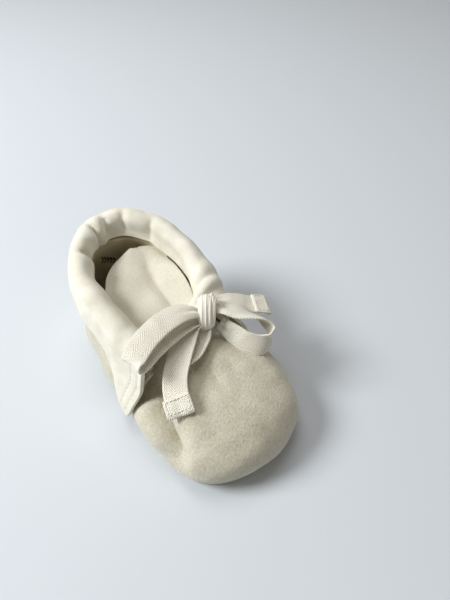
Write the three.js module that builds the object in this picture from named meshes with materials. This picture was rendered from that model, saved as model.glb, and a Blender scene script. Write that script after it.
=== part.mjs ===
// A soft baby bootie: sole, toe piece with tongue, heel piece, rolled collar with a drawstring channel,
// and a flat twill drawstring tied in a bow. Millimetres, +Z up, toe towards -Y, heel towards +Y.
import * as THREE from "three";
import { mergeVertices } from "three/addons/utils/BufferGeometryUtils.js";

// ---- driving dimensions ----
const TOE = { y: -56, centreY: -26, half: 30, power: 2.4 }; // blunt round toe
const HEEL = { y: 59, centreY: 24, half: 25.5, power: 2.2 };
const FLEECE = 2.0; // outer cloth
const LINING = 1.2; // inner cloth
const CUFF = 1.6; // folded collar cloth
const GAP = 0.35; // between layers that are sewn together
const THREAD = 0.5;
const UPPER_Z = FLEECE + LINING + 2 * GAP; // lower edge of every upper piece
const SOLE_INSET = 3; // the upper bulges past the sole by this much
const BULGE_Z = 9; // height at which the upper is widest
const VAMP_TOP = { toe: 25, throat: 30 }; // height along the middle of the toe piece
const VAMP_WAIST = 8.5; // how far its rear corners are tucked inside the heel piece
const SPINE = { front: -24, throat: 2 }; // middle line of the toe piece
const VAMP_CORNER_Y = 5; // its rear lower corners
const BEND = -6.5; // how far the heel lies to the left of the toe
const FRONT_Y = -8; // front edges of the heel piece
const FRONT_SLIDE = { left: -2, right: 9 }; // how far the tops of those edges slant along the foot
const WALL_TOP = { front: 24, heel: 35 };
const LIP_SETBACK = 9; // the tunnel mouths open inwards: their inner lips lie this much further back
const LEAN = { front: 9.5, heel: 2 }; // how far the wall's top leans inwards
const ROLL = { half: 6.2, front: 12, heel: 14 }; // the rolled collar's half width and its heights
const TONGUE = { length: 40, half: 15.6, leftward: 0.75, rootHalf: 11, rise: 5 };
const TAPE = { width: 9.5, thick: 0.9, endWidth: 10.2, endThick: 2.4, gathered: 5, inChannel: 7.4 };
const KNOT = { x: 8.7, y: -4, z: 36, across: 3.8, along: 4.4, high: 4.8 };

const V = (x, y, z) => new THREE.Vector3(x, y, z);
const { lerp, clamp, smoothstep: smooth } = THREE.MathUtils;

// ---- mesh helpers ----
// A closed mesh from quads of four points each, turned so that its faces look outwards.
function closedMesh(quads) {
  const raw = new THREE.BufferGeometry();
  raw.setFromPoints(quads.flatMap(([a, b, c, d]) => [a, b, c, a, c, d]));
  const merged = mergeVertices(raw, 1e-3);
  const at = merged.index.array;
  const corner = (i) => V().fromBufferAttribute(merged.attributes.position, i);
  const kept = [];
  let volume = 0;
  for (let i = 0; i < at.length; i += 3) {
    const [a, b, c] = at.slice(i, i + 3);
    if (a === b || b === c || c === a) continue;
    kept.push(a, b, c);
    volume += corner(a).dot(corner(b).cross(corner(c)));
  }
  merged.setIndex(volume < 0 ? kept.reverse() : kept);
  return merged;
}

const gridOf = (surface, nu, nv) =>
  Array.from({ length: nu + 1 }, (_, i) =>
    Array.from({ length: nv + 1 }, (_, j) => surface(i / nu, j / nv)),
  );

// Cloth between an outer and an inner surface. With `joined`, the far edge (v = 1) folds onto itself.
function cloth(outer, inner, nu, nv, joined = false) {
  const [high, low] = [gridOf(outer, nu, nv), gridOf(inner, nu, nv)];
  const quads = [];
  for (let i = 0; i < nu; i++) {
    for (let j = 0; j < nv; j++) {
      quads.push([high[i][j], high[i + 1][j], high[i + 1][j + 1], high[i][j + 1]]);
      quads.push([low[i][j], low[i][j + 1], low[i + 1][j + 1], low[i + 1][j]]);
    }
    quads.push([low[i][0], low[i + 1][0], high[i + 1][0], high[i][0]]);
    if (!joined) quads.push([low[i + 1][nv], low[i][nv], high[i][nv], high[i + 1][nv]]);
  }
  for (let j = 0; j < nv; j++) {
    quads.push([low[0][j + 1], low[0][j], high[0][j], high[0][j + 1]]);
    quads.push([low[nu][j], low[nu][j + 1], high[nu][j + 1], high[nu][j]]);
  }
  return closedMesh(quads);
}

// A bar through a list of stations, each given by its four corners.
function bar(stations, ring = false) {
  const quads = [];
  const spans = stations.length - (ring ? 0 : 1);
  for (let i = 0; i < spans; i++) {
    const a = stations[i];
    const b = stations[(i + 1) % stations.length];
    a.forEach((_, k) => quads.push([a[k], a[(k + 1) % 4], b[(k + 1) % 4], b[k]]));
  }
  if (!ring) quads.push([...stations[0]].reverse(), [...stations.at(-1)]);
  return closedMesh(quads);
}

// ---- the bootie's outline ----
// Half the width of the upper at a place along the foot, on an outline drawn in by `inset`.
function halfWidth(y, inset = 0) {
  const round = (share, power) => Math.max(0, 1 - share ** power) ** (1 / power);
  if (y < TOE.centreY) {
    const share = (TOE.centreY - y) / (TOE.centreY - TOE.y - inset);
    return (TOE.half - inset) * round(share, TOE.power);
  }
  if (y > HEEL.centreY) {
    const share = (y - HEEL.centreY) / (HEEL.y - inset - HEEL.centreY);
    return (HEEL.half - inset) * round(share, HEEL.power);
  }
  return lerp(TOE.half, HEEL.half, smooth(y, TOE.centreY, HEEL.centreY)) - inset;
}

// The middle line curves a little, as a soft piece does when it is set down.
const midline = (y) => BEND * smooth(y, -30, 55);

// The whole outline, walked once round from the toe's tip.
function outline(inset, count) {
  const reach = (HEEL.y - TOE.y) / 2 - inset;
  return Array.from({ length: count }, (_, i) => {
    const angle = (2 * Math.PI * i) / count;
    const y = (TOE.y + HEEL.y) / 2 - reach * Math.cos(angle);
    return new THREE.Vector2(midline(y) + Math.sign(Math.sin(angle)) * halfWidth(y, inset), y);
  });
}

// ---- toe piece ----
// The line it stands on: from its left rear corner round the toe to its right rear corner.
const sideYs = [VAMP_CORNER_Y, -8, -18, -28, -38, -46, -52];
const leftFoot = sideYs.map((y) => V(midline(y) - halfWidth(y), y, 0));
const rightFoot = sideYs.map((y) => V(midline(y) + halfWidth(y), y, 0)).reverse();
const vampLine = new THREE.CatmullRomCurve3([...leftFoot, V(0, TOE.y, 0), ...rightFoot]);

// u walks round the toe, v rises from the sole seam to the middle line.
const UNDER = -0.42; // angle at which the rounded side meets the sole
function vamp(inset) {
  return (u, v) => {
    const foot = vampLine.getPointAt(u);
    const rear = Math.abs(2 * u - 1) ** 1.5;
    const middle = lerp(SPINE.front, SPINE.throat, rear);
    const crest = V(midline(middle), middle, 0);
    const span = foot.distanceTo(crest);
    const pinched = smooth(foot.y, -22, FRONT_Y);
    const inside = inset + VAMP_WAIST * pinched;
    const angle = lerp(UNDER, Math.PI / 2, v);
    const point = crest.lerp(foot, (Math.cos(angle) ** 0.86 * (span - inside)) / span);
    if (angle < 0) return point.setZ(lerp(BULGE_Z, UPPER_Z, angle / UNDER));
    const high = lerp(VAMP_TOP.toe, VAMP_TOP.throat, rear) - inset;
    return point.setZ(lerp(BULGE_Z, high, Math.sin(angle) ** lerp(0.86, 1.5, pinched)));
  };
}

// ---- tongue ----
function tongue(drop) {
  return (u, v) => {
    const side = 2 * u - 1;
    const share = Math.sin((v * Math.PI) / 2);
    const half = lerp(TONGUE.rootHalf, TONGUE.half, smooth(share, 0, 0.5));
    const x = side * half * Math.max(0.01, 1 - share ** 3) ** 0.5;
    const root = lerp(SPINE.throat, VAMP_CORNER_Y, Math.abs(x) / 24) + 0.8;
    const y = lerp(root, SPINE.throat + TONGUE.length, share);
    const crown = 3.6 * (x / TONGUE.half) ** 2;
    const centre = midline(SPINE.throat) - TONGUE.leftward + BEND * 0.5 * share;
    return V(centre + x, y, VAMP_TOP.throat + TONGUE.rise * share - crown - drop);
  };
}

// ---- heel piece and collar ----
const standYs = [FRONT_Y, 4, 17, 30, 42, 51, 57];
const rightStand = standYs.map((y) => V(midline(y) + halfWidth(y), y, 0));
const leftStand = standYs.map((y) => V(midline(y) - halfWidth(y), y, 0)).reverse();
const standLine = new THREE.CatmullRomCurve3([...rightStand, V(BEND, HEEL.y, 0), ...leftStand]);
const towardsHeel = (u) => Math.sin(Math.PI * u) ** 0.9;

// A point `out` millimetres outside the line the heel piece stands on, at height z.
function beside(u, out, z, setback = 0) {
  const tangent = standLine.getTangentAt(u);
  const slide = (u < 0.5 ? FRONT_SLIDE.right : FRONT_SLIDE.left) * (z / WALL_TOP.front);
  const shift = (slide + setback) * (1 - smooth(towardsHeel(u), 0, 0.5));
  return standLine.getPointAt(u).add(V(tangent.y * out, -tangent.x * out + shift, z));
}

// How far the wall leans inwards at a share of its height.
function lean(u, v) {
  const most = lerp(LEAN.front, LEAN.heel, smooth(towardsHeel(u), 0, 0.6));
  return most * Math.max(0, (v - 0.25) / 0.75) ** 1.6;
}

// The heel piece's side view: how far out and how high its outer face is, v from seam to top edge.
function wallSide(u, v) {
  const high = lerp(WALL_TOP.front, WALL_TOP.heel, towardsHeel(u));
  const tuck = SOLE_INSET * (1 - Math.sqrt(Math.min(1, v / 0.25)));
  return { out: -lean(u, v) - tuck, z: lerp(UPPER_Z, high, v) };
}

function wall(inset) {
  return (u, v) => {
    const { out, z } = wallSide(u, v);
    return beside(u, out - inset, z);
  };
}

// The collar: up inside the opening, over the roll and down outside the wall, `off` from its middle.
function cuff(off) {
  return (u, v) => {
    const top = wallSide(u, 1);
    const tall = lerp(ROLL.front, ROLL.heel, towardsHeel(u));
    const low = lerp(0.06, 0.7, smooth(towardsHeel(u), 0.15, 0.75));
    const middle = top.out - (FLEECE + GAP + LINING) / 2;
    const on = (share, puff) => {
      const side = wallSide(u, share);
      return V(Math.max(side.out, -lean(u, share)) + GAP + CUFF / 2 + puff, side.z, 0);
    };
    const profile = new THREE.CatmullRomCurve3([
      V(top.out - FLEECE - LINING - 2 * GAP - CUFF / 2, top.z - lerp(0.4, 4, towardsHeel(u)), 0),
      V(middle - ROLL.half + CUFF / 2, top.z + 0.25 * tall, 0),
      V(middle - 0.65 * ROLL.half, top.z + 0.85 * tall, 0),
      V(middle, top.z + tall - CUFF / 2, 0),
      V(middle + 0.7 * ROLL.half, top.z + 0.8 * tall, 0),
      V(middle + ROLL.half - CUFF / 2, top.z + 0.25 * tall, 0),
      on(lerp(1, low, 0.15), 2),
      on(lerp(1, low, 0.5), 1.4),
      on(low, 0.2),
    ]);
    const at = profile.getPoint(v);
    const along = profile.getTangent(v);
    const setback = LIP_SETBACK * (1 - smooth(v, 0.15, 0.5));
    return beside(u, at.x - along.y * off, at.y + along.x * off, setback);
  };
}

// A row of stitching along a front edge of the collar, lying on its outer face.
function hemThread(u) {
  const [low, high] = [cuff(CUFF / 2 + GAP), cuff(CUFF / 2 + GAP + THREAD)];
  const half = 0.0016;
  const stations = Array.from({ length: 15 }, (_, i) => {
    const v = lerp(0.5, 0.985, i / 14);
    return [low(u - half, v), low(u + half, v), high(u + half, v), high(u - half, v)];
  });
  return bar(stations);
}

// ---- drawstring ----
// Flat tape through `points`; `across` gives the direction of its width at each of them. It is
// gathered over a few spans towards the knot, and its hemmed end is folded over, so twice as thick.
function tape(points, across, steps, options = {}) {
  const { gathered = [0.8, 0], hemmed = false, wide = TAPE.width } = options;
  const path = new THREE.CatmullRomCurve3(points.map((p) => V(...p)));
  const sides = new THREE.CatmullRomCurve3(across.map((p) => V(...p)));
  const spans = points.length - 1;
  const stations = [];
  for (let i = 0; i <= steps; i++) {
    const t = i / steps;
    const folded = hemmed && t * spans > spans - 1;
    const fromStart = gathered[0] ? smooth(t * spans, 0, gathered[0]) : 1;
    const fromEnd = gathered[1] ? smooth((1 - t) * spans, 0, gathered[1]) : 1;
    const width = lerp(TAPE.gathered, folded ? TAPE.endWidth : wide, Math.min(fromStart, fromEnd));
    const along = path.getTangent(t);
    const side = sides.getPoint(t);
    side.addScaledVector(along, -side.dot(along)).setLength(width / 2);
    const up = along.clone().cross(side).setLength((folded ? TAPE.endThick : TAPE.thick) / 2);
    const centre = path.getPoint(t);
    stations.push([
      centre.clone().add(side).add(up),
      centre.clone().sub(side).add(up),
      centre.clone().sub(side).sub(up),
      centre.clone().add(side).sub(up),
    ]);
  }
  return bar(stations);
}

// The length that runs through the collar, from the knot's left side round the heel to its right side.
function channelRun() {
  const shares = [0.95, 0.9, 0.82, 0.74, 0.66, 0.58, 0.5, 0.42, 0.34, 0.26, 0.18, 0.12, 0.07];
  const inRoll = shares.map((u) => {
    const top = wallSide(u, 1);
    const lower = 1 * (1 - smooth(towardsHeel(u), 0.1, 0.6));
    const rise = lerp(ROLL.front, ROLL.heel, towardsHeel(u)) / 2 - CUFF / 2 - lower;
    return beside(u, top.out - (FLEECE + GAP + LINING) / 2, top.z + rise).toArray();
  });
  const fromKnot = [[4.4, -1.9, 34.6], [-3, -1.8, 33.4], [-10, -4, 31.2], [-14.8, -5.6, 29.3]];
  const toKnot = [[13.6, 4.6, 30.6], [10.9, 0.4, 33.6]];
  const points = [...fromKnot, ...inRoll, ...toKnot];
  const across = points.map(() => [0, 0, 1]);
  across.splice(0, 3, [0, 0.7, 0.7], [0, 0.75, 0.65], [0, 0.6, 0.8]);
  return tape(points, across, 68, { gathered: [4.5, 4.2], wide: TAPE.inChannel });
}

// The knot: a short upright barrel, narrower at its waist where the tape wraps it.
function knot() {
  const barrel = new THREE.SphereGeometry(1, 18, 14);
  return barrel.scale(KNOT.across, KNOT.along, KNOT.high).translate(KNOT.x, KNOT.y, KNOT.z);
}

// A row of stitching across a hemmed tape end, lying on its upper face.
function endStitch(points, across) {
  const [before, end] = points.slice(-2).map((p) => V(...p));
  const along = end.clone().sub(before).normalize();
  const side = V(...across);
  side.addScaledVector(along, -side.dot(along)).setLength(TAPE.width / 2 - 0.4);
  const up = along.clone().cross(side).normalize();
  if (up.z < 0) up.negate();
  const middle = end.addScaledVector(along, -1.2).addScaledVector(up, TAPE.endThick / 2 + 0.6);
  const stations = [side.clone().negate(), side].map((edge) => {
    const centre = middle.clone().add(edge);
    const corner = (a, b) => centre.clone().addScaledVector(along, a).addScaledVector(up, b);
    const half = THREAD / 2;
    return [corner(half, half), corner(-half, half), corner(-half, -half), corner(half, -half)];
  });
  return bar(stations);
}

// ---- materials ----
const colours = { fleece: 0xd9d2c0, jersey: 0xece6d6, tape: 0xe6dfcd, thread: 0xe2dccb };
const material = {};
for (const [name, color] of Object.entries(colours)) {
  material[name] = new THREE.MeshStandardMaterial({ name, color, roughness: 0.95, metalness: 0 });
}

const bootie = new THREE.Group();
bootie.name = "baby_bootie";
function add(name, geometry, look) {
  const mesh = new THREE.Mesh(geometry, look);
  mesh.name = name;
  bootie.add(mesh);
}

// ---- sole ----
function plate(inset, thick, z, count) {
  const shape = new THREE.Shape(outline(inset, count));
  const flat = new THREE.ExtrudeGeometry(shape, { depth: thick, bevelEnabled: false });
  return flat.translate(0, 0, z);
}

function seamThread(inset, count) {
  const outer = outline(inset, count);
  const inner = outline(inset + THREAD, count);
  const low = FLEECE + GAP;
  const stations = outer.map((p, i) => {
    const q = inner[i];
    return [V(p.x, p.y, low), V(p.x, p.y, low + THREAD), V(q.x, q.y, low + THREAD), V(q.x, q.y, low)];
  });
  return bar(stations, true);
}

add("sole_outer", plate(SOLE_INSET, FLEECE, 0, 56), material.fleece);
add("sole_lining", plate(SOLE_INSET + 2.2, LINING, FLEECE + GAP, 44), material.jersey);
add("sole_seam_thread", seamThread(SOLE_INSET + 1, 56), material.thread);
add("vamp_outer", cloth(vamp(0), vamp(FLEECE), 36, 12, true), material.fleece);
add("vamp_lining", cloth(vamp(FLEECE + GAP), vamp(FLEECE + GAP + LINING), 36, 12, true), material.jersey);
add("tongue_outer", cloth(tongue(0), tongue(FLEECE), 10, 12), material.fleece);
add("tongue_lining", cloth(tongue(FLEECE + GAP), tongue(FLEECE + GAP + LINING), 8, 10), material.jersey);
add("heel_outer", cloth(wall(0), wall(FLEECE), 36, 7), material.fleece);
add("heel_lining", cloth(wall(FLEECE + GAP), wall(FLEECE + GAP + LINING), 32, 6), material.jersey);
add("collar_casing", cloth(cuff(-CUFF / 2), cuff(CUFF / 2), 40, 18), material.jersey);
add("left_hem_stitch_front", hemThread(0.988), material.thread);
add("left_hem_stitch_rear", hemThread(0.966), material.thread);
add("right_hem_stitch_front", hemThread(0.012), material.thread);
add("right_hem_stitch_rear", hemThread(0.034), material.thread);

// drawstring and bow
const leftLoop = [
  [4.3, -3.6, 38.4], [-2, -2.8, 40.6], [-9.1, -3.8, 41.4], [-20.3, -9.5, 40.9], [-26.6, -12.9, 40],
  [-28, -14.2, 38.4], [-26.2, -14.9, 37.2], [-17, -13.4, 36.9], [-6, -9.4, 36.7], [3.6, -5.8, 35.6],
];
const rightLoop = [
  [13, -4.6, 38], [16, -5.4, 38.2], [21.4, -9, 36.6], [26.4, -14.2, 33.2], [28.6, -19.2, 29.4],
  [26, -22.6, 27], [20.6, -22, 27.4], [15.4, -17.6, 30], [12, -9.6, 32.6],
];
const leftTail = [
  [6, -9.4, 33.4], [-0.5, -10.6, 32.6], [-6.4, -12.8, 31.6],
  [-12.6, -17.6, 29.6], [-16, -22.6, 28.2], [-18.2, -28.6, 26],
];
const rightTail = [[12.2, -1.2, 37.8], [17, 2, 39.9], [24, 2, 39.2], [30.6, -1.4, 35.4], [35.4, -5.2, 30]];
const leftTailSide = [0.8, -0.5, 0.3];
const rightTailSide = [0.1, 0.95, 0.2];
function addTape(name, points, side, steps, options) {
  add(name, tape(points, points.map(() => side), steps, options), material.tape);
}
add("drawstring", channelRun(), material.tape);
add("bow_knot", knot(), material.tape);
addTape("left_loop", leftLoop, [-0.3, 0.9, 0.2], 40, { gathered: [0.8, 0.8] });
addTape("right_loop", rightLoop, [-0.25, -0.75, 0.6], 40, { gathered: [0.8, 0.8] });
addTape("left_tail", leftTail, leftTailSide, 30, { hemmed: true });
addTape("right_tail", rightTail, rightTailSide, 28, { hemmed: true });
add("left_tail_stitch", endStitch(leftTail, leftTailSide), material.thread);
add("right_tail_stitch", endStitch(rightTail, rightTailSide), material.thread);

// the origin is under the middle of the whole object
const box = new THREE.Box3().setFromObject(bootie);
bootie.position.set(-(box.min.x + box.max.x) / 2, -(box.min.y + box.max.y) / 2, 0);

export default bootie;
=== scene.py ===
"""A soft baby bootie in brushed cotton, with a rolled jersey collar and a twill tape tied in a bow."""

import math

import bmesh
import bpy
import numpy as np
from mathutils import Matrix, Vector


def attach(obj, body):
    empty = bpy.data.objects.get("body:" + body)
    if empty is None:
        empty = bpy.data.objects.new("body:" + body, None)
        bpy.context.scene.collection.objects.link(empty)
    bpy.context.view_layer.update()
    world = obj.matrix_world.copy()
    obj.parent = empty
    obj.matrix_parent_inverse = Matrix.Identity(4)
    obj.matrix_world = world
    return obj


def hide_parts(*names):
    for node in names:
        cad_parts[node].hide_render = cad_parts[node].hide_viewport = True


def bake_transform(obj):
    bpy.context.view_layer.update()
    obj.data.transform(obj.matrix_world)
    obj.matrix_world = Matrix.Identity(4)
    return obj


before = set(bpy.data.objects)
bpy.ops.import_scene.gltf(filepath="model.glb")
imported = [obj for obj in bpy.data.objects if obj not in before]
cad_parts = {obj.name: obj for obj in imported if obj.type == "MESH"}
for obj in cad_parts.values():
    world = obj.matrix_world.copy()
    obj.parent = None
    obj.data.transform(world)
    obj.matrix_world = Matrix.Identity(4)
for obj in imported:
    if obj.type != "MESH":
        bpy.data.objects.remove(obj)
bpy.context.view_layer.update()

MM = 0.001  # metres in a millimetre

# The shapes are worked out in millimetres about the middle of the sole; SHIFT moves them to the CAD frame.
SHIFT = np.array([-2.92, -2.738, 0.0])
# Each rounded end: its tip's y, where its rounding starts, half its width there, and how square it is.
TOE = dict(y=-56.0, centre=-26.0, half=30.0, power=2.4)
HEEL = dict(y=59.0, centre=24.0, half=25.5, power=2.2)
BEND = -6.5  # how far the midline bends sideways by the heel
FRONT_Y = -8.0  # the heel piece's front corners
SEAM_Z = 1.6  # the sole seam
BULGE_Z = 9.0  # where the toe piece is widest
HINGE = np.array([-2.0, 2.4, 30.0])  # the throat, where the tongue folds
SOLE_MIDDLE = np.array([-1.5, 0.0])
PATH_POINTS = 1201


# ---- small numeric helpers ----
def smooth(x, a, b):
    t = np.clip((np.asarray(x, float) - a) / (b - a), 0, 1)
    return t * t * (3 - 2 * t)


def mix(a, b, t):
    return a + (b - a) * t


def bump(x, centre, width):
    return np.exp(-(((np.asarray(x, float) - centre) / width) ** 2))


def waves(points, size, seed, count=14):
    """Smooth noise from -1 to 1 at points, with lumps about size millimetres across."""
    rng = np.random.default_rng(seed)
    way = rng.normal(size=(count, 3))
    way /= np.linalg.norm(way, axis=1, keepdims=True)
    way *= (2 * np.pi / size) * rng.uniform(0.6, 1.5, (count, 1))
    phase = rng.uniform(0, 2 * np.pi, count)
    return np.sin(points @ way.T + phase).sum(-1) * math.sqrt(2 / count) * 0.7


def spline(knots, t):
    """Catmull-Rom through knots (first axis), at t from 0 to 1."""
    knots = np.asarray(knots, float)
    n = len(knots) - 1
    s = np.clip(np.asarray(t, float), 0, 1) * n
    i = np.clip(s.astype(int), 0, n - 1)
    f = (s - i).reshape((-1,) + (1,) * (knots.ndim - 1))
    p0, p1 = knots[np.maximum(i - 1, 0)], knots[i]
    p2, p3 = knots[i + 1], knots[np.minimum(i + 2, n)]
    return 0.5 * (
        2 * p1
        + (p2 - p0) * f
        + (2 * p0 - 5 * p1 + 4 * p2 - p3) * f**2
        + (3 * p1 - p0 - 3 * p2 + p3) * f**3
    )


def unit(v):
    return v / np.maximum(np.linalg.norm(v, axis=-1, keepdims=True), 1e-9)


def normals(grid):
    """Unit normals of a grid of points."""
    return unit(np.cross(np.gradient(grid, axis=0), np.gradient(grid, axis=1)))


# ---- making pieces ----
def mesh_object(name, points, faces):
    """A mesh object in the scene, from points in millimetres."""
    mesh = bpy.data.meshes.new(name)
    mesh.from_pydata(((np.asarray(points) + SHIFT) * MM).tolist(), [], faces)
    obj = bpy.data.objects.new(name, mesh)
    bpy.context.scene.collection.objects.link(obj)
    return obj


def shade_smooth(mesh):
    mesh.polygons.foreach_set("use_smooth", [True] * len(mesh.polygons))


def lay_mesh(name, grid, uv=None, ring_u=False, ring_v=False, weld=False):
    """A mesh object from a grid of points in millimetres, with a uv in millimetres too."""
    nu, nv = grid.shape[:2]
    at = np.arange(nu * nv).reshape(nu, nv)
    iu = np.arange(nu if ring_u else nu - 1)
    iv = np.arange(nv if ring_v else nv - 1)
    a, b = np.meshgrid(iu, iv, indexing="ij")
    a, b = a.ravel(), b.ravel()
    a1, b1 = (a + 1) % nu, (b + 1) % nv
    faces = np.stack([at[a, b], at[a1, b], at[a1, b1], at[a, b1]], 1)
    obj = mesh_object(name, grid.reshape(-1, 3), faces.tolist())
    mesh = obj.data
    if uv is not None:
        layer = mesh.uv_layers.new(name="UVMap")
        flat = uv.reshape(-1, 2)[faces.ravel()]
        layer.data.foreach_set("uv", flat.astype(np.float32).ravel())
    if weld:
        form = bmesh.new()
        form.from_mesh(mesh)
        bmesh.ops.remove_doubles(form, verts=form.verts, dist=0.4 * MM)
        form.to_mesh(mesh)
        form.free()
    shade_smooth(mesh)
    return obj


def cloth(name, grid, material, thick, slot, body="shoe", uv=None, levels=1, stands_for=(), **rings):
    """A piece of cloth: a grid given thickness and rounded edges."""
    obj = lay_mesh(name, grid, uv, **rings)
    solid = obj.modifiers.new("thickness", "SOLIDIFY")
    solid.thickness = thick * MM
    solid.offset = 0
    if levels:
        round_off = obj.modifiers.new("rounding", "SUBSURF")
        round_off.levels = round_off.render_levels = levels
    return dress(obj, material, body, stands_for)


def cut(obj):
    """Returns the piece as it is."""
    return obj


def dress(obj, material, body="shoe", stands_for=()):
    """Gives a piece its material and the body it rides on, and hides the CAD nodes it stands for."""
    obj.data.materials.append(material)
    if stands_for:
        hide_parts(*stands_for)
    if body:
        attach(obj, body)
    return obj


# ---- materials ----
def material(name, colour, build):
    """A matt material of one colour, which build may then give a pattern."""
    made = bpy.data.materials.new(name)
    made.use_nodes = True
    nodes, links = made.node_tree.nodes, made.node_tree.links
    shader = nodes["Principled BSDF"]
    shader.inputs["Base Color"].default_value = (*colour, 1)
    shader.inputs["Roughness"].default_value = 0.92
    shader.inputs["Specular IOR Level"].default_value = 0.18
    build(nodes, links, shader)
    return made


def math_node(nodes, links, operation, a, b=None):
    node = nodes.new("ShaderNodeMath")
    node.operation = operation
    for socket, value in zip(node.inputs, (a, b)):
        if value is None:
            continue
        if isinstance(value, (int, float)):
            socket.default_value = value
        else:
            links.new(value, socket)
    return node.outputs[0]


def noise_node(nodes, links, coords, scale, detail=3.0):
    node = nodes.new("ShaderNodeTexNoise")
    node.inputs["Scale"].default_value = scale
    node.inputs["Detail"].default_value = detail
    links.new(coords, node.inputs["Vector"])
    return node.outputs["Fac"]


def tint(nodes, links, shader, factor, dark, light, low=0.3, high=0.7):
    """Base colour running from dark to light with factor."""
    ramp = nodes.new("ShaderNodeValToRGB")
    ramp.color_ramp.elements[0].position = low
    ramp.color_ramp.elements[0].color = (*dark, 1)
    ramp.color_ramp.elements[1].position = high
    ramp.color_ramp.elements[1].color = (*light, 1)
    links.new(factor, ramp.inputs[0])
    links.new(ramp.outputs[0], shader.inputs["Base Color"])


def relief(nodes, links, shader, height, distance):
    """Raises the surface by height, up to distance in metres."""
    node = nodes.new("ShaderNodeBump")
    node.inputs["Distance"].default_value = distance
    node.inputs["Strength"].default_value = 1.0
    links.new(height, node.inputs["Height"])
    links.new(node.outputs[0], shader.inputs["Normal"])


def brushed(dark, light, grain):
    """Napped cloth: fine fuzz, soft clouds of tone and a few darker flecks."""

    def build(nodes, links, shader):
        where = nodes.new("ShaderNodeTexCoord").outputs["Object"]
        fuzz = noise_node(nodes, links, where, 2600.0, 5.0)
        cloud = noise_node(nodes, links, where, 130.0, 4.0)
        fleck = noise_node(nodes, links, where, 1000.0, 3.0)
        tone = math_node(nodes, links, "MULTIPLY", fuzz, 0.45)
        both = math_node(nodes, links, "ADD", tone, math_node(nodes, links, "MULTIPLY", cloud, 0.26))
        both = math_node(nodes, links, "ADD", both, math_node(nodes, links, "MULTIPLY", fleck, 0.29))
        tint(nodes, links, shader, both, dark, light, 0.38, 0.62)
        relief(nodes, links, shader, math_node(nodes, links, "ADD", fuzz, fleck), grain)
        shader.inputs["Sheen Weight"].default_value = 0.35
        shader.inputs["Sheen Roughness"].default_value = 0.6

    return build


def knitted(dark, light, grain):
    """Smooth interlock jersey: very fine even texture."""

    def build(nodes, links, shader):
        where = nodes.new("ShaderNodeTexCoord").outputs["Object"]
        fine = noise_node(nodes, links, where, 2200.0, 3.0)
        cloud = noise_node(nodes, links, where, 160.0, 3.0)
        both = math_node(nodes, links, "ADD", math_node(nodes, links, "MULTIPLY", fine, 0.4),
                         math_node(nodes, links, "MULTIPLY", cloud, 0.6))
        tint(nodes, links, shader, both, dark, light, 0.38, 0.62)
        relief(nodes, links, shader, fine, grain)
        shader.inputs["Sheen Weight"].default_value = 0.25
        shader.inputs["Sheen Roughness"].default_value = 0.5

    return build


def twill(dark, light):
    """Herringbone tape. Its uv is in millimetres: u along the tape and v across it."""
    column, slant, ridge_step, warp_step = 2.4, 1.35, 1.05, 0.6

    def build(nodes, links, shader):
        uv = nodes.new("ShaderNodeUVMap")
        split = nodes.new("ShaderNodeSeparateXYZ")
        links.new(uv.outputs[0], split.inputs[0])
        along, across = split.outputs[0], split.outputs[1]
        zigzag = math_node(nodes, links, "PINGPONG", across, column)
        slope = math_node(nodes, links, "MULTIPLY", zigzag, slant)
        line = math_node(nodes, links, "ADD", along, slope)
        ridge_turn = math_node(nodes, links, "MULTIPLY", line, 2 * math.pi / ridge_step)
        ridge = math_node(nodes, links, "SINE", ridge_turn)
        warp_turn = math_node(nodes, links, "MULTIPLY", across, 2 * math.pi / warp_step)
        warp = math_node(nodes, links, "SINE", warp_turn)
        where = nodes.new("ShaderNodeTexCoord").outputs["Object"]
        fuzz = noise_node(nodes, links, where, 1700.0, 4.0)
        weave = math_node(nodes, links, "MULTIPLY_ADD", ridge, 0.32)
        weave.node.inputs[2].default_value = 0.5
        weave = math_node(nodes, links, "ADD", weave, math_node(nodes, links, "MULTIPLY", warp, 0.12))
        tone = math_node(nodes, links, "ADD", math_node(nodes, links, "MULTIPLY", weave, 0.6),
                         math_node(nodes, links, "MULTIPLY", fuzz, 0.4))
        tint(nodes, links, shader, tone, dark, light, 0.22, 0.62)
        rough = math_node(nodes, links, "ADD", weave, math_node(nodes, links, "MULTIPLY", fuzz, 0.5))
        relief(nodes, links, shader, rough, 0.2 * MM)
        shader.inputs["Sheen Weight"].default_value = 0.2

    return build


def plain(*_):
    """No pattern: the colour alone."""


FLEECE = material("fleece", (0.6, 0.56, 0.46), brushed((0.5, 0.455, 0.335), (0.72, 0.685, 0.555), 0.24 * MM))
TONGUE = material(
    "tongue fleece", (0.7, 0.67, 0.58), brushed((0.64, 0.6, 0.485), (0.77, 0.735, 0.62), 0.14 * MM))
JERSEY = material("jersey", (0.82, 0.8, 0.73), knitted((0.74, 0.705, 0.59), (0.86, 0.835, 0.73), 0.1 * MM))
# The lining is tinted a darker, warmer tan than the jersey: its own tone plus painted shade and warm bounce
# light from inside the bootie.
LINING_WITH_PAINTED_SHADE = material("lining", (0.78, 0.74, 0.62), knitted((0.66, 0.56, 0.36), (0.78, 0.7, 0.5), 0.1 * MM))
TAPE = material("tape", (0.74, 0.7, 0.6), twill((0.64, 0.575, 0.42), (0.97, 0.95, 0.86)))
THREAD = material("thread", (0.8, 0.78, 0.7), plain)
PRINT = material("print", (0.022, 0.018, 0.014), plain)


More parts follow.
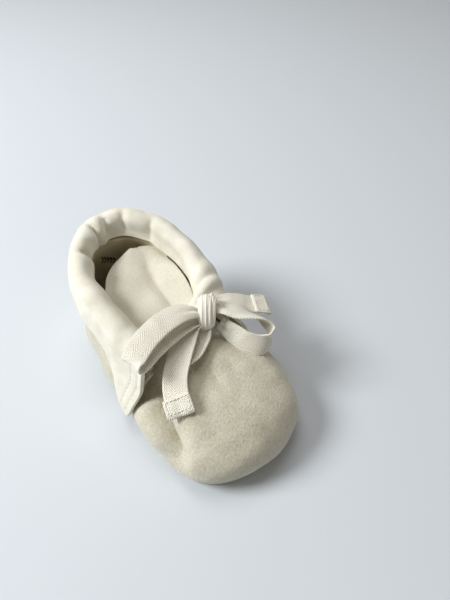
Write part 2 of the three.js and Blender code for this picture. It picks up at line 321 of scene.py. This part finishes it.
# ---- the bootie's outline ----
def half_width(y, inset=0.0):
    """Half the bootie's width at y, inset millimetres inside its outline."""
    y = np.asarray(y, float)
    toe = np.clip((TOE["centre"] - y) / (TOE["centre"] - TOE["y"] - inset), 0, 1)
    heel = np.clip((y - HEEL["centre"]) / (HEEL["y"] - inset - HEEL["centre"]), 0, 1)
    side = mix(TOE["half"], HEEL["half"], smooth(y, TOE["centre"], HEEL["centre"])) - inset
    side = side * (1 - toe ** TOE["power"]) ** (1 / TOE["power"])
    return side * (1 - heel ** HEEL["power"]) ** (1 / HEEL["power"])


def midline(y):
    return BEND * smooth(y, -30, 55)


def even(path, count):
    """The path resampled at even steps: points and unit tangents."""
    step = np.r_[0, np.cumsum(np.linalg.norm(np.diff(path, axis=0), axis=1))]
    at = np.linspace(0, step[-1], count)
    points = np.stack([np.interp(at, step, path[:, k]) for k in range(path.shape[1])], 1)
    return points, unit(np.gradient(points, axis=0))


def outline(inset, count):
    """The outline walked once round from the toe, anticlockwise seen from above."""
    angle = np.linspace(0, 2 * np.pi, 2400, endpoint=False)
    reach = (HEEL["y"] - TOE["y"]) / 2 - inset
    y = (HEEL["y"] + TOE["y"]) / 2 - reach * np.cos(angle)
    x = midline(y) + np.sign(np.sin(angle)) * half_width(y, inset)
    path = np.stack([x, y], 1)
    return even(np.vstack([path, path[:1]]), count + 1)[0][:-1]


def stand_path():
    """Right front corner of the heel piece, round the heel, to its left front corner."""
    angle = np.linspace(0, np.pi / 2, 500)
    y = np.r_[
        np.linspace(FRONT_Y, HEEL["centre"], 200, endpoint=False),
        HEEL["centre"] + (HEEL["y"] - HEEL["centre"]) * np.sin(angle),
    ]
    right = np.stack([midline(y) + half_width(y), y], 1)
    left = np.stack([midline(y) - half_width(y), y], 1)[::-1]
    return even(np.vstack([right, left[1:]]), PATH_POINTS)


STAND, STAND_WAY = stand_path()


def beside(u, out, z, shift=0.0):
    """Points out millimetres outside the stand line; u along it, all arrays of one shape."""
    u, out, z = np.broadcast_arrays(np.asarray(u, float), out, z)
    at = np.linspace(0, 1, len(STAND))
    x, y = np.interp(u, at, STAND[:, 0]), np.interp(u, at, STAND[:, 1])
    tx, ty = np.interp(u, at, STAND_WAY[:, 0]), np.interp(u, at, STAND_WAY[:, 1])
    slide = np.where(u < 0.5, 9.0 * np.minimum(z, 27.0) / 24.0, -5.4 * smooth(z, 1, 14))
    forward = (slide + shift) * (1 - smooth(to_heel(u), 0, 0.5))
    return np.stack([x + ty * out, y - tx * out + forward, z], -1)


def to_heel(u):
    """0 at the collar's two mouths and 1 at the middle of the heel."""
    return np.sin(np.pi * np.clip(u, 0, 1)) ** 0.9


# ---- heel piece and collar ----
def wall_top(u):
    return mix(24.0, 38.4, to_heel(u))


def lean(u, v):
    """How far the wall leans in over the foot; v from its foot to its top."""
    return mix(9.5, 2.0, smooth(to_heel(u), 0, 0.6)) * np.clip((v - 0.25) / 0.75, 0, 1) ** 1.6


def wall(inset, nu, nv, ends):
    """The heel piece's face, inset millimetres inside its outside, v from the floor seam upwards."""
    u, v = np.meshgrid(np.linspace(ends, 1 - ends, nu), np.linspace(0, 1, nv), indexing="ij")
    tuck = 3.2 * (1 - np.sqrt(1 - (1 - np.clip(v / 0.3, 0, 1)) ** 2))
    belly = np.sin(np.pi * np.clip(v, 0, 1) ** 0.7) ** 0.9
    full = (3.2 * bump(u, 0.885, 0.07) + 1.5 * bump(u, 0.12, 0.07)) * belly
    return beside(u, -lean(u, v) - tuck - inset + full, mix(SEAM_Z, wall_top(u), v))


def tucked(grid):
    """Leans the top of the wall inwards, under the collar's lower edge."""
    return grid - normals(grid) * (0.95 * smooth(grid[..., 2], 19, 26))[..., None]


def roll_height(u):
    return mix(12.0, 10.6, to_heel(u))


def roll_half(u):
    """Half the width of the rolled collar: full at the right mouth, slimmer round the heel."""
    return mix(4.1, 8.0, 1 - smooth(u, 0.02, 0.24)) + 1.2 * smooth(u, 0.7, 0.86)


def collar_samples():
    """Places along the collar, close together near its front edges."""
    dense = np.linspace(0, 0.06, 44)
    return np.r_[dense, np.linspace(0.06, 0.94, 190)[1:-1], 1 - dense[::-1]]


def cuff(u_line, nv):
    """The collar's middle surface: up inside the opening, over the roll and down outside."""
    u = u_line[:, None]
    heel = to_heel(u_line)
    top_out, top_z = -lean(u_line, 1.0), wall_top(u_line)
    tall = roll_height(u_line)
    half = roll_half(u_line)
    inward = 3.6 * bump(u_line, 0.66, 0.13)
    middle = top_out + 4.4 - half - inward + 1.0 * bump(u_line, 0.43, 0.1)
    top_z = top_z + 1.4 * bump(u_line, 0.42, 0.14)
    inner = 3.2 * bump(u_line, 0.0, 0.09)
    low = mix(0.03, 0.85, smooth(heel, 0.1, 0.4))

    def share_high(v):
        return smooth(v, 0.45, 1.0)

    def on(share, puff):
        v = mix(1.0, low, share)
        return np.stack([-lean(u_line, v) + 1.15 + puff - inward * share_high(v), mix(SEAM_Z, top_z, v)], -1)

    flare = 1.7 * bump(u_line, 0.93, 0.08) + 1.2 * bump(u_line, 0.08, 0.07)
    knots = [
        np.stack([np.minimum(middle - 0.3 * half, top_out - 4.2) - inner, top_z + mix(-0.6, 0.2, heel)], -1),
        np.stack([middle - half + 0.3 - inner, top_z + mix(0.24, 0.3, heel) * tall], -1),
        np.stack([middle - 0.84 * half - 0.6 * inner, top_z + 0.7 * tall], -1),
        np.stack([middle - 0.1 * half, top_z + tall - 0.8], -1),
        np.stack([middle + 0.78 * half, top_z + 0.78 * tall], -1),
        np.stack([middle + half + 0.2, top_z + 0.3 * tall], -1),
        on(0.12, 2.4 + flare * 0.4),
        on(0.5, 1.5 + flare),
        on(0.85, 0.9 + flare * 0.6),
        on(1.0, 0.3),
    ]
    v_line = np.linspace(0, 1, nv)
    profile = spline(np.array(knots), v_line)
    out, z = profile[..., 0].T, profile[..., 1].T
    v = v_line[None, :]
    rear = np.where(u < 0.5, 1 - smooth(v, 0.03, 0.26), 1 - smooth(v, 0.14, 0.5))
    shift = 9.0 * rear
    grid = beside(np.broadcast_to(u, out.shape), out, z, shift)
    away = normals(grid)
    puffs = gathers(u_line)[:, None] * bump(v, 0.2, 0.15)
    ripple = 0.9 * np.sin(2 * np.pi * u / 0.07 + 1.0) * bump(u, 0.1, 0.07) * bump(v, 0.3, 0.18)
    lumps = 0.42 * waves(grid, 18.0, 3) + 0.1 * waves(grid, 7.0, 4)
    edge = (1 - 0.7 * bump(v, 1.0, 0.12)) * (1 - 0.9 * bump(u, 1.0, 0.05)) * (1 - 0.7 * bump(u, 0.0, 0.04))
    return grid + away * ((puffs + ripple) * -1 - lumps * edge)[..., None]


# Each crease: its place along the collar, its width and its depth.
CREASES = (
    (0.545, 0.011, 1.4), (0.5, 0.012, 0.75), (0.655, 0.014, 1.05), (0.44, 0.014, 0.45), (0.35, 0.013, 0.4),
)


def gathers(u):
    """Soft scallops that the drawstring pulls into the collar's inner side, sharpest round the back."""
    deep = sum(k * bump(u, at, w) for at, w, k in CREASES)
    swell = 0.8 * np.sin(2 * np.pi * (u - 0.05) / 0.15) * smooth(u, 0.2, 0.4) * (1 - smooth(u, 0.7, 0.85))
    return swell - 3.0 * deep


def seam_groove(grid, u_line, lines, depth=0.32, width=0.0026):
    """Presses rows of stitching into the collar near its front edges."""
    v = np.linspace(0, 1, grid.shape[1])[None, :]
    press = sum(bump(u_line[:, None], at, width) for at in lines) * smooth(v, 0.4, 0.5)
    return grid + normals(grid) * (press * depth)[..., None]


# ---- toe piece ----
def vamp_path():
    """The toe piece's foot, from its left rear corner round the toe to its right rear corner."""
    angle = np.linspace(0, np.pi / 2, 500)
    y = np.r_[
        np.linspace(5.0, TOE["centre"], 200, endpoint=False),
        TOE["centre"] + (TOE["y"] - TOE["centre"]) * np.sin(angle),
    ]
    left = np.stack([midline(y) - half_width(y), y], 1)
    right = np.stack([midline(y) + half_width(y), y], 1)[::-1]
    return even(np.vstack([left, right[1:]]), PATH_POINTS)[0]


def vamp(inset, nu, nv):
    """The plain dome: u walks round the toe, v rises from the sole seam to the middle line."""
    pinch, under = 2.6, -0.5
    path = vamp_path()
    u_line = np.linspace(0, 1, nu)
    foot = np.stack([np.interp(u_line, np.linspace(0, 1, len(path)), path[:, k]) for k in (0, 1)], -1)
    rear = np.abs(2 * u_line - 1) ** 1.5
    crest_y = mix(-24.0, 2.0, rear)
    crest = np.stack([midline(crest_y), crest_y], -1)
    span = np.linalg.norm(foot - crest, axis=1)
    pinched = smooth(foot[:, 1], -22, FRONT_Y)
    inside = inset + pinch * pinched
    angle = np.linspace(under, np.pi / 2, nv)[None, :]
    reach = np.cos(angle) ** 0.86 * ((span - inside) / span)[:, None]
    flat = crest[:, None, :] + (foot - crest)[:, None, :] * reach[..., None]
    high = (mix(25.0, 30.0, rear) - inset)[:, None]
    rise = np.abs(np.sin(angle)) ** mix(0.86, 1.5, pinched)[:, None]
    z = np.where(angle > 0, mix(BULGE_Z, high, rise), mix(BULGE_Z, SEAM_Z, angle / under))
    return np.concatenate([flat, z[..., None]], -1)


def fold(grid, start, end, width, depth):
    """A soft valley (or, with a negative depth, a ridge) along a line seen from above."""
    a, b = np.array(start, float), np.array(end, float)
    along = (b - a) / np.linalg.norm(b - a)
    d = grid[..., :2] - a
    s = (d @ along) / np.linalg.norm(b - a)
    off = d @ np.array([-along[1], along[0]])
    fade = smooth(s, -0.35, 0.2) * (1 - smooth(s, 0.75, 1.35))
    return -depth * fade * bump(off, 0, width)


# Each fold of the toe piece: its start and end seen from above, its width and its depth.
VAMP_FOLDS = (
    ((-20.5, -11), (-26.4, -40), 3.5, 6.4),
    ((-27, -14), (-30, -33), 3.6, -1.5),
    ((-13, -16), (-15, -36), 4.6, -0.9),
    ((12, -14), (17, -30), 3.6, 0.9),
    ((5, -14), (2, -30), 3.4, -0.8),
    ((24, -10), (28, -24), 3.0, 0.9),
    ((-5, -12), (-6, -26), 2.6, 0.7),
)


def shaped_vamp(inset, nu, nv):
    """The dome with its folds and soft lumps, pulled in beside the heel piece."""
    grid = vamp(inset, nu, nv)
    high = smooth(grid[..., 2], 4, 12)
    press = sum(fold(grid, *each) for each in VAMP_FOLDS)
    lumps = 0.5 * waves(grid, 26.0, 8) + 0.12 * waves(grid, 9.0, 9)
    grid = grid + normals(grid) * (press * high + lumps * (0.35 + 0.65 * high))[..., None]
    grid[:, -1] = (grid[:, -1] + grid[::-1, -1]) / 2
    x, y, z = grid[..., 0], grid[..., 1], grid[..., 2]
    side = bump(y, -10, 9) * (1 - smooth(z, 10, 20)) * smooth(z, 1, 6)
    grid[..., 0] += np.where(x < 0, -2.8, 1.2) * side
    return grid


# ---- tongue ----
def tongue_tip(turn):
    """A row of the tongue's rounded end: y, left edge and right edge at a turn in degrees."""
    t = math.radians(turn)
    middle = mix(-2.2, 1.6, math.sin(t))
    half = 15 * math.cos(t) ** 0.9
    return 35 + 10.6 * math.sin(t), middle - half, middle + half


TONGUE_EDGES = np.array([
    (-9, -12.0, 6.5), (-3, -13.2, 8.0), (2.4, -15.2, 9.6), (8, -17.4, 11.2), (14, -18.8, 12.2),
    (20, -19.8, 12.9), (26, -20.0, 13.2), (31, -19.0, 13.3),
] + [tongue_tip(turn) for turn in (0, 15, 30, 44, 56, 66, 74, 80)])


def tongue(drop, nu, nv):
    """A broad flap, leaning to the right, with a soft crease along its right side."""
    side, share = np.meshgrid(np.linspace(-1, 1, nu), np.linspace(0, 1, nv), indexing="ij")
    edges = spline(TONGUE_EDGES, share.ravel()).reshape(nu, nv, 3)
    y, left, right = edges[..., 0], edges[..., 1], edges[..., 2]
    back = np.clip((y - HINGE[1]) / 41.4, 0, 1)
    x = mix(left, right, (side + 1) / 2)
    y = y - 1.6 * (side**2) * smooth(back, 0.0, 0.3) * (1 - back)
    crown = mix(2.6, 1.5, back) * np.abs(side) ** 2.4
    root = -1.3 * (1 - smooth(y, -6, 3))
    z = HINGE[2] + 5.6 * back**0.9 - crown - drop + root
    rising = smooth(side, 0.45, 1.0) * bump(back, 0.42, 0.4)
    crease = bump(side, 0.32, 0.2) * bump(back, 0.45, 0.4)
    z = z + 3.4 * rising - 2.4 * crease + 0.9 * bump(side, -0.3, 0.4) * back
    grid = np.stack([x, y, z], -1)
    grid[..., 2] += 0.45 * waves(grid, 18.0, 21) * smooth(back, 0, 0.2)
    return grid


# ---- sole ----
def sole(nu, nv):
    """The flat sole with its edge turned up to meet the upper; v from the middle outwards."""
    turned_up = ((3.4, 0.85), (2.7, 1.2), (2.4, 1.75), (2.7, 2.3), (3.5, 2.7), (4.6, 2.9))
    rings = flat_rings(outline(4.4, nu), nv - len(turned_up), 0.75)
    rings += [np.c_[outline(inset, nu), np.full(nu, z)] for inset, z in turned_up]
    return np.stack(rings, 1)


def flat_rings(edge, count, z):
    """Rings from near the sole's middle out to edge, all at height z."""
    return [np.c_[SOLE_MIDDLE + (edge - SOLE_MIDDLE) * s, np.full(len(edge), z)]
            for s in np.linspace(0.04, 1, count)]


# ---- drawstring ----
TAPE_WIDTH = 9.5
TAPE_THICK = 0.8


def ribbon(points, across, widths, seed):
    """Flat tape through points; across and widths are given at each point. Also its uv and length."""
    cup, step, columns, wobble = 0.25, 0.55, 13, 0.12
    fine = np.linspace(0, 1, 1200)
    dense = spline(points, fine)
    lengths = np.r_[0, np.cumsum(np.linalg.norm(np.diff(dense, axis=0), axis=1))]
    count = max(8, int(lengths[-1] / step))
    at = np.interp(np.linspace(0, lengths[-1], count), lengths, fine)
    centre = spline(points, at)
    along = unit(np.gradient(centre, axis=0))
    side = spline(across, at)
    side = unit(side - along * (side * along).sum(1, keepdims=True))
    up = np.cross(along, side)
    wide = np.clip(spline(np.array(widths, float)[:, None], at)[:, 0], 3.5, 11.0)
    w = np.linspace(-1, 1, columns)
    lift = cup * (w**2 - 0.4)
    pleat = (1 - wide / TAPE_WIDTH)[:, None] * 1.5 * np.cos(w * np.pi * 2.2)[None, :]
    grid = centre[:, None] + side[:, None] * (w[None, :, None] * wide[:, None, None] / 2)
    grid = grid + up[:, None] * (lift[None, :] + pleat)[..., None]
    grid = grid + up[:, None] * (wobble * waves(grid, 7.0, 40 + seed))[..., None]
    run = np.linspace(0, lengths[-1], count)
    uv = np.stack(np.broadcast_arrays(run[:, None], w[None, :] * TAPE_WIDTH / 2 + 4.8), -1)
    return grid, uv, lengths[-1]


# ---- camera, floor and light ----
CAM = dict(az=-34.85, el=48.0, distance=200.74, right=17.2, up=30.53, roll=1.5, lens=27.0)


def set_camera():
    """A phone's main camera, held close above the toe."""
    a, e, roll = (math.radians(CAM[k]) for k in ("az", "el", "roll"))
    back = Vector((math.sin(a) * math.cos(e), -math.cos(a) * math.cos(e), math.sin(e)))
    right = Vector((math.cos(a), math.sin(a), 0))
    up = back.cross(right)
    right, up = right * math.cos(roll) + up * math.sin(roll), up * math.cos(roll) - right * math.sin(roll)
    place = back * CAM["distance"] + right * CAM["right"] + up * CAM["up"] + Vector(SHIFT)
    data = bpy.data.cameras.new("camera")
    data.lens, data.sensor_width = CAM["lens"], 36.0
    data.clip_start = 0.01
    camera = bpy.data.objects.new("camera", data)
    camera.matrix_world = Matrix((
        (right.x, up.x, back.x, place.x * MM),
        (right.y, up.y, back.y, place.y * MM),
        (right.z, up.z, back.z, place.z * MM),
        (0, 0, 0, 1),
    ))
    bpy.context.scene.collection.objects.link(camera)
    bpy.context.scene.camera = camera


def area_light(name, place, target, size, power, colour):
    data = bpy.data.lights.new(name, "AREA")
    data.shape, data.size, data.energy, data.color = "DISK", size, power, colour
    obj = bpy.data.objects.new(name, data)
    obj.location = place
    obj.rotation_euler = (Vector(target) - Vector(place)).to_track_quat("-Z", "Y").to_euler()
    bpy.context.scene.collection.objects.link(obj)


def set_stage():
    """A pale floor, a window's light from the left, a weaker one from above and a dim room."""
    floor = bpy.data.meshes.new("floor")
    r = 3.0
    floor.from_pydata([(-r, -r, 0), (r, -r, 0), (r, r, 0), (-r, r, 0)], [], [(0, 1, 2, 3)])
    obj = bpy.data.objects.new("floor", floor)
    bpy.context.scene.collection.objects.link(obj)
    pale = material("floor", (0.66, 0.7, 0.74), plain)
    pale.node_tree.nodes["Principled BSDF"].inputs["Roughness"].default_value = 0.6
    obj.data.materials.append(pale)
    world = bpy.data.worlds.new("world")
    bpy.context.scene.world = world
    world.use_nodes = True
    nodes, links = world.node_tree.nodes, world.node_tree.links
    split = nodes.new("ShaderNodeSeparateXYZ")
    links.new(nodes.new("ShaderNodeTexCoord").outputs["Generated"], split.inputs[0])
    sky = nodes.new("ShaderNodeValToRGB")
    links.new(split.outputs[2], sky.inputs[0])
    low, high = sky.color_ramp.elements
    low.position, low.color = 0.06, (0.56, 0.58, 0.6, 1)
    high.position, high.color = 0.32, (0.185, 0.172, 0.152, 1)
    links.new(sky.outputs[0], nodes["Background"].inputs[0])
    area_light("window", (-0.68, 0.38, 0.68), (0, 0, 0.02), 0.42, 10.2, (0.97, 0.99, 1.0))
    area_light("room", (0.12, 0.42, 1.15), (0.05, 0.1, 0), 0.8, 4.6, (0.99, 0.99, 1.0))
    view = bpy.context.scene.view_settings
    view.view_transform, view.look = "Standard", "None"


# ---- building ----
set_camera()
set_stage()

sole_piece = cloth("sole", sole(160, 22), FLEECE, 1.5, "fleece", ring_u=True,
                   stands_for=("sole_outer", "sole_seam_thread"))
bed = np.stack(flat_rings(outline(6.0, 120), 20, 2.6), 1)
insole = cloth("insole", bed, LINING_WITH_PAINTED_SHADE, 1.0, "jersey", ring_u=True, levels=0, stands_for=("sole_lining",))

toe_piece = cloth("toe_piece", shaped_vamp(1.0, 221, 61), FLEECE, 2.0, "fleece",
                  stands_for=("vamp_outer",), weld=True)
toe_lining = cloth("toe_inside", shaped_vamp(2.9, 121, 41), LINING_WITH_PAINTED_SHADE, 1.0, "jersey", levels=0,
                   stands_for=("vamp_lining",), weld=True)
heel_grid = wall(1.0, 200, 26, 0.02)
heel_grid = heel_grid + normals(heel_grid) * (0.4 * waves(heel_grid, 18.0, 31))[..., None]
heel_piece = cloth("heel_piece", tucked(heel_grid), FLEECE, 2.0, "fleece", stands_for=("heel_outer",))
heel_lining = cloth("heel_inside", wall(2.9, 160, 24, 0.03), LINING_WITH_PAINTED_SHADE, 1.0, "jersey", levels=0,
                    stands_for=("heel_lining",))

# Each row of hem stitches: its edge of the collar, its place on that edge and its place along the collar.
HEM_ROWS = (
    ("left_hem", "front", 0.985), ("left_hem", "rear", 0.967),
    ("right_hem", "front", 0.015), ("right_hem", "rear", 0.033),
)
u_line = collar_samples()
collar = seam_groove(cuff(u_line, 96), u_line, [u for _, _, u in HEM_ROWS])
collar_piece = cloth("collar", collar, JERSEY, 1.7, "jersey", stands_for=("collar_casing",))

for name, drop, fabric, thick, slot, node in (
    ("tongue", 1.0, TONGUE, 2.0, "fleece", "tongue_outer"),
    ("tongue_inside", 2.9, LINING_WITH_PAINTED_SHADE, 1.2, "jersey", "tongue_lining"),
):
    piece = cloth(name, tongue(drop, 41, 70), fabric, thick, slot, body=None, stands_for=(node,))
    cut(piece)
    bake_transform(piece)

cut(toe_piece)
cut(toe_lining)
cut(heel_piece)
cut(heel_lining)
cut(collar_piece)
cut(sole_piece)
cut(insole)

# ---- bow and drawstring ----
def tape_piece(name, route, widths, body, nodes, seed):
    """A length of tape along route, a list of points each with the way its width runs there."""
    grid, uv, length = ribbon([p for p, _ in route], [a for _, a in route], widths, seed=seed)
    piece = cloth(name + "_tape", grid, TAPE, TAPE_THICK, "tape", body=body, uv=uv, stands_for=nodes)
    return cut(piece)


LEFT_ACROSS = (-0.12, 0.97, 0.14)
left_loop = [(p, LEFT_ACROSS) for p in (
    (5.8, -3.6, 38.2), (2.6, -2.4, 40.0), (-3.1, -1.8, 41.2), (-10.7, -3.2, 41.6), (-17.9, -5.8, 41.1),
    (-23.2, -8.6, 40.0), (-25.7, -10.4, 38.8), (-25.7, -11.2, 37.4), (-22.9, -10.2, 36.7),
    (-17.5, -7.8, 36.7), (-9.5, -5.4, 36.8), (-2.0, -4.2, 36.4), (4.6, -4.6, 35.4),
)]
right_loop = [
    ((12.0, -3.6, 38.0), (-0.35, -0.8, 0.3)), ((14.6, -6.8, 38.7), (-0.45, -0.8, 0.25)),
    ((18.6, -10.8, 38.2), (-0.5, -0.8, 0.2)), ((23.1, -14.4, 36.6), (-0.45, -0.65, 0.6)),
    ((26.8, -17.6, 33.8), (-0.25, -0.35, 0.9)), ((27.8, -20.8, 30.9), (0, 0, 1)),
    ((25.2, -23.6, 29.0), (0.1, 0.1, 0.98)), ((20.6, -23.2, 28.6), (0.2, 0.3, 0.93)),
    ((16.6, -19.2, 29.4), (0.25, 0.35, 0.9)), ((14.2, -13.6, 30.8), (0.3, 0.35, 0.88)),
    ((11.6, -8.4, 32.6), (0.3, 0.3, 0.9)),
]
DOWN_ACROSS = (0.8, -0.55, 0.15)
left_tail = [(p, DOWN_ACROSS) for p in (
    (6.0, -5.8, 34.4), (1.2, -5.6, 33.9), (-4.2, -9.0, 33.0), (-9.0, -13.2, 31.8), (-13.4, -17.8, 30.4),
    (-16.2, -22.4, 28.7), (-17.8, -27.0, 26.9), (-18.4, -30.2, 25.5),
)]
RIGHT_ACROSS = (0.5, 0.8, -0.1)
right_tail = [(p, RIGHT_ACROSS) for p in (
    (11.8, -1.8, 37.2), (15.4, -2.4, 37.0), (19.0, -3.4, 36.5), (22.8, -4.8, 35.3), (26.6, -6.2, 33.4),
    (30.4, -7.8, 31.6), (34.0, -9.4, 30.4),
)]
left_root = [(p, DOWN_ACROSS) for p in (
    (6.6, -5.8, 32.8), (3.4, -8.2, 31.2), (-0.4, -10.8, 30.2), (-4.2, -13.0, 29.8), (-8.4, -14.4, 30.0),
)]
GATHERED = [5, 7, 9]  # the tape's widths where it comes out of the knot
left_widths = GATHERED + [TAPE_WIDTH] * 7 + [9, 8, 5.5]
right_widths = GATHERED + [TAPE_WIDTH] * 6 + [8.6, 5.5]
tape_piece("left_loop", left_loop, left_widths, "left_loop", ("left_loop",), 1)
tape_piece("right_loop", right_loop, right_widths, "right_loop", ("right_loop",), 2)
tape_piece("left_tail_root", left_root, [6, 8.6, 9, 9, 8], "shoe", (), 8)


def channel():
    """The length inside the collar, and both short lengths between its mouths and the knot."""
    shares = np.array([0.95, 0.9, 0.82, 0.74, 0.66, 0.58, 0.5, 0.42, 0.34, 0.26, 0.18, 0.12, 0.07])
    lower = 1 - smooth(to_heel(shares), 0.1, 0.6)
    rise = roll_height(shares) / 2 - 0.8 - lower
    roll = beside(shares, -lean(shares, 1.0) - 0.4, wall_top(shares) + rise)
    points = [(5.4, -2.2, 35.2), (-3, -1.8, 33.6), (-10, -4, 31.4), (-14.8, -5.6, 29.6)] + roll.tolist()
    points += [(16.6, 8.4, 33.0), (13.6, 3.6, 35.4), (10.4, -0.8, 37.0)]
    across = [(0, 0.7, 0.7), (0, 0.75, 0.65), (0, 0.6, 0.8)] + [(0, 0, 1)] * 14
    across += [(0.5, 0.2, 0.8), (0.9, 0, 0.4), (1, 0, 0.1)]
    return points, across


run, run_across = channel()
grid, uv, length = ribbon(run, run_across, [5, 6, 6.5, 7] + [7.4] * 13 + [7, 6.4, 6], seed=5)
drawstring = cloth("drawstring_tape", grid, TAPE, TAPE_THICK, "tape", uv=uv, stands_for=("drawstring",))
cut(drawstring)


def knot():
    """The wrap of tape round the bow's middle, standing upright with fine pleats along it."""
    centre = np.array([8.8, -4.0, 37.0])
    through = unit(np.array([0.86, -0.5, 0.06]))
    tall = unit(np.array([0.32, 0.42, 0.85]))
    tall = unit(tall - through * (tall @ through))
    front = np.cross(through, tall)
    turn = np.linspace(0, 2 * np.pi, 120, endpoint=False)[:, None]
    w = np.linspace(-1, 1, 37)[None, :]
    pleats = 0.11 * np.cos(w * np.pi * 4.2 + 0.7 * np.sin(turn) + 0.6)
    pleats = pleats - 0.4 * bump(w, 0.34 + 0.25 * np.sin(turn), 0.12)
    size = 1 - 0.3 * np.abs(w) ** 3.0
    a = (6.7 * size + pleats) * np.sign(np.cos(turn)) * np.abs(np.cos(turn)) ** 0.95
    b = (4.4 * size + pleats) * np.sign(np.sin(turn)) * np.abs(np.sin(turn)) ** 0.9
    wide = 3.2 + 0.4 * np.cos(turn) * np.abs(np.cos(turn))
    slant = 0.5 * np.cos(turn)
    grid = centre + through * (w * wide + slant)[..., None] + tall * a[..., None] + front * b[..., None]
    uv = np.stack(np.broadcast_arrays(w * 4.4, 1.2 + 0.1 * np.sin(turn)), -1)
    return grid, uv


grid, uv = knot()
knot_piece = cloth("bow_knot_tape", grid, TAPE, 0.9, "tape", uv=uv, ring_u=True, stands_for=("bow_knot",))
cut(knot_piece)


def lining_mark():
    """A small printed leaf sprig on the lining inside the heel."""
    verts, faces = [], []
    rib_slope = 0.44

    def spot(a, b):
        u, v = np.array([0.512 + 0.0056 * a]), 0.7 + 0.03 * b
        return beside(u, -lean(u, v) - 3.5, mix(SEAM_Z, wall_top(u), v))[0]

    def leaf(a0, b0, a1, b1, wide):
        base = len(verts)
        across = np.array([-(b1 - b0), a1 - a0]) / math.hypot(a1 - a0, b1 - b0)
        for k in range(7):
            t = k / 6
            half = wide * math.sin(math.pi * min(max(t, 0.06), 0.94))
            a, b = mix(a0, a1, t), mix(b0, b1, t)
            verts.append(spot(a + across[0] * half, b + across[1] * half))
            verts.append(spot(a - across[0] * half, b - across[1] * half))
        faces.extend([base + 2 * k, base + 2 * k + 1, base + 2 * k + 3, base + 2 * k + 2] for k in range(6))

    leaf(-5, -2.4, 5.5, 2.2, 0.16)
    for t in (-3.6, -1.8, 0.0, 1.8, 3.6):
        leaf(t, t * rib_slope - 0.2, t + 1.5, t * rib_slope + 2.1, 0.42)
        leaf(t, t * rib_slope - 0.3, t + 2.2, t * rib_slope - 1.5, 0.4)
    dress(mesh_object("lining_mark", verts, faces), PRINT)


lining_mark()


# ---- stitching ----
def stitch_row(name, u, node):
    """Short stitches lying in the pressed row near a front edge of the collar."""
    pitch, stitch = 2.3, 1.75
    row = np.argmin(np.abs(u_line - u))
    line = collar[row]
    away = -normals(collar)[row]
    length = np.r_[0, np.cumsum(np.linalg.norm(np.diff(line, axis=0), axis=1))]
    start = length[int(len(line) * 0.46)]
    verts, faces = [], []
    for s in np.arange(start, length[-1] - 0.8, pitch):
        ends = []
        for t in np.linspace(s, s + stitch, 5):
            p = np.array([np.interp(t, length, line[:, k]) for k in range(3)])
            n = unit(np.array([np.interp(t, length, away[:, k]) for k in range(3)]))
            ends.append(p + n * (0.85 + 0.16 * math.sin(math.pi * (t - s) / stitch)))
        tube(verts, faces, np.array(ends), 0.2)
    thread_piece(name, verts, faces, "shoe", node)


def thread_piece(name, verts, faces, body, node):
    obj = mesh_object(name, verts, faces)
    shade_smooth(obj.data)
    dress(obj, THREAD, body, (node,))


def tube(verts, faces, path, radius, sides=6):
    """Adds a closed tube with pointed-in ends along path."""
    along = unit(np.gradient(path, axis=0))
    ref = np.array([0.3, 0.2, 0.93])
    side = unit(np.cross(along, ref))
    up = np.cross(side, along)
    base = len(verts)
    taper = np.r_[0.45, np.ones(len(path) - 2), 0.45]
    for p, s, q, k in zip(path, side, up, taper):
        for i in range(sides):
            a = 2 * math.pi * i / sides
            verts.append(p + (s * math.cos(a) + q * math.sin(a)) * radius * k)
    for r in range(len(path) - 1):
        for i in range(sides):
            a, b = base + r * sides + i, base + r * sides + (i + 1) % sides
            faces.append([a, b, b + sides, a + sides])
    faces.append([base + i for i in reversed(range(sides))])
    faces.append([base + (len(path) - 1) * sides + i for i in range(sides)])


for edge, place, u in HEM_ROWS:
    stitch_row(f"{edge}_stitches_{place}", u, f"{edge}_stitch_{place}")


def tail(name, route, widths, seed):
    """A free end of the tape, turned over on itself and sewn down with a box of stitches."""
    grid, uv, length = ribbon([p for p, _ in route], [a for _, a in route], widths, seed=seed)
    strip = cloth(name + "_tape", grid, TAPE, TAPE_THICK, "tape", body=name, uv=uv, stands_for=(name,))
    (before, _), (end, across) = route[-2:]
    before, end = np.array(before, float), np.array(end, float)
    along = unit(end - before)
    side = np.array(across, float)
    side = unit(side - along * (side @ along))
    up = np.cross(along, side)
    up = up if up[2] > 0 else -up
    start = end - along * 6.0
    places = [start + along * a + up * b for a, b in ((0, 0.95), (2, 1.05), (4.4, 1.05))]
    places += [end + along * a + up * b for a, b in ((0.5, 0.85), (1.0, 0.2), (0.5, -0.35), (-1.2, -0.3))]
    grid, uv, _ = ribbon(places, [side] * 7, [10.2, 10.4, 10.5, 10.4, 10.0, 9.6, 9.4], seed=7)
    hem = cloth(name + "_hem", grid, TAPE, TAPE_THICK, "tape", body=name, uv=uv)
    verts, faces = [], []
    corners = [(-4.2, 0.9), (4.2, 0.9), (4.2, 5.4), (-4.2, 5.4), (-4.2, 0.9)]
    for (a0, b0), (a1, b1) in zip(corners, corners[1:]):
        count = max(2, round(math.hypot(a1 - a0, b1 - b0) / 1.5))
        for k in range(count):
            share = (k + np.linspace(0.12, 0.88, 4)[:, None]) / count
            lift = 1.12 + TAPE_THICK / 2 + 0.12 * np.sin(np.linspace(0, np.pi, 4))[:, None]
            thread = start + side * mix(a0, a1, share) + along * mix(b0, b1, share) + up * lift
            tube(verts, faces, thread, 0.17)
    thread_piece(name + "_stitches", verts, faces, name, name + "_stitch")
    cut(strip)


tail("left_tail", left_tail, GATHERED + [TAPE_WIDTH] * 5, 3)
tail("right_tail", right_tail, GATHERED + [TAPE_WIDTH] * 4, 4)
